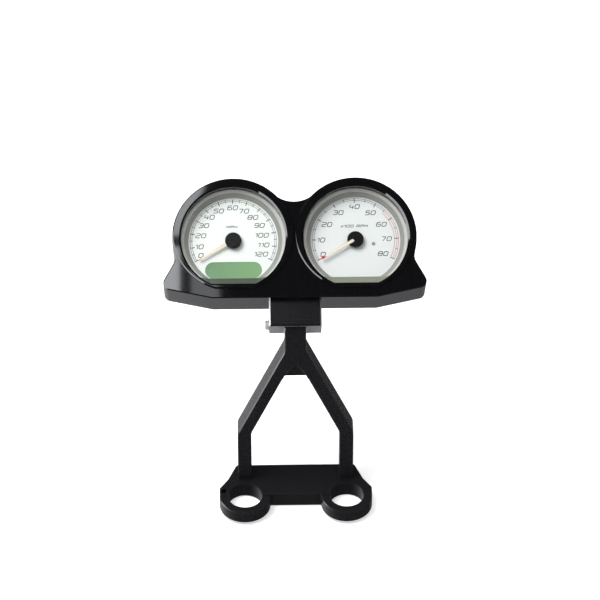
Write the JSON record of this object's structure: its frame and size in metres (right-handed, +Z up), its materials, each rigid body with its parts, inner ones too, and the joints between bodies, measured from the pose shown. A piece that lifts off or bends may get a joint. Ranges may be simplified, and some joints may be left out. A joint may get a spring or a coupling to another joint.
{
  "type": "instrument cluster",
  "caption": "Twin-dial motorcycle instrument cluster in a black billet pod, tilting on a forked mast that clamps to the handlebar risers.",
  "frame": {"origin": "midway between the two riser axes, on the underside of the clamp base", "axes": "+Z up along the risers, +X to the rider's right, the rider at -Y; the dials face -Y and up"},
  "size_m": [0.2232, 0.1599, 0.2777],
  "materials": {
    "black_anodised": "black anodised, satin to gloss",
    "black_rubber": "matt",
    "black_steel": "black oxide",
    "bronze": "sintered",
    "white_nylon": "moulded",
    "lcd_panel": "reflective display cell",
    "lamp_lens": "tinted, unlit",
    "clear_glass": "clear, anti-glare",
    "black_plastic": "moulded",
    "grey_plastic": "satin silver-grey",
    "dial_white": "printed, matt",
    "clear_acrylic": "clear, polished",
    "circuit_laminate": "solder-masked",
    "zinc_steel": "zinc plated",
    "pointer_ivory": "painted, red tip",
    "hub_black": "moulded"
  },
  "bodies": {
    "mount": {"clamp_base": "black_anodised", "left_clamp_cap": "black_anodised", "right_clamp_cap": "black_anodised", "clamp_screws": "black_steel", "mast_foot_screws": "black_steel", "mast": "black_anodised", "tilt_bush": "bronze", "tilt_washers": "white_nylon"},
    "pod": {"pod_shell": "black_anodised", "back_cover": "black_anodised", "back_cover_seal": "black_rubber", "back_cover_screws": "black_steel", "cable_grommet": "black_rubber", "pivot_block": "black_anodised", "pivot_block_screws": "black_steel", "tilt_bolt": "zinc_steel", "bolt_washer": "zinc_steel", "lcd_display": "lcd_panel", "tell_tale_lens": "lamp_lens", "retainer_screws": "black_steel", "speedo_lens": "clear_glass", "speedo_lens_seal": "black_rubber", "speedo_can": "black_plastic", "speedo_reflector": "grey_plastic", "speedo_dial": "dial_white", "speedo_light_guide": "clear_acrylic", "speedo_circuit_board": "circuit_laminate", "speedo_stepper_motor": "black_plastic", "speedo_connector": "white_nylon", "speedo_retainer": "zinc_steel", "tacho_lens": "clear_glass", "tacho_lens_seal": "black_rubber", "tacho_can": "black_plastic", "tacho_reflector": "grey_plastic", "tacho_dial": "dial_white", "tacho_light_guide": "clear_acrylic", "tacho_circuit_board": "circuit_laminate", "tacho_stepper_motor": "black_plastic", "tacho_connector": "white_nylon", "tacho_retainer": "zinc_steel"},
    "speedo_needle": {"speedo_pointer": "pointer_ivory", "speedo_pointer_hub": "hub_black", "speedo_motor_shaft": "zinc_steel"},
    "tacho_needle": {"tacho_pointer": "pointer_ivory", "tacho_pointer_hub": "hub_black", "tacho_motor_shaft": "zinc_steel"}
  },
  "joints": [
    {"name": "pod_tilt", "type": "hinge", "parent": "mount", "child": "pod", "pos_m": [0, 0.0298, 0.184], "axis": [1, 0, 0], "range_deg": [-15, 15]},
    {"name": "speedo_sweep", "type": "hinge", "parent": "pod", "child": "speedo_needle", "pos_m": [-0.052, 0.07773, 0.23798], "axis": [0, -0.5878, 0.809], "range_deg": [-240, 0]},
    {"name": "tacho_sweep", "type": "hinge", "parent": "pod", "child": "tacho_needle", "pos_m": [0.052, 0.07773, 0.23798], "axis": [0, -0.5878, 0.809], "range_deg": [-240, 0]}
  ]
}
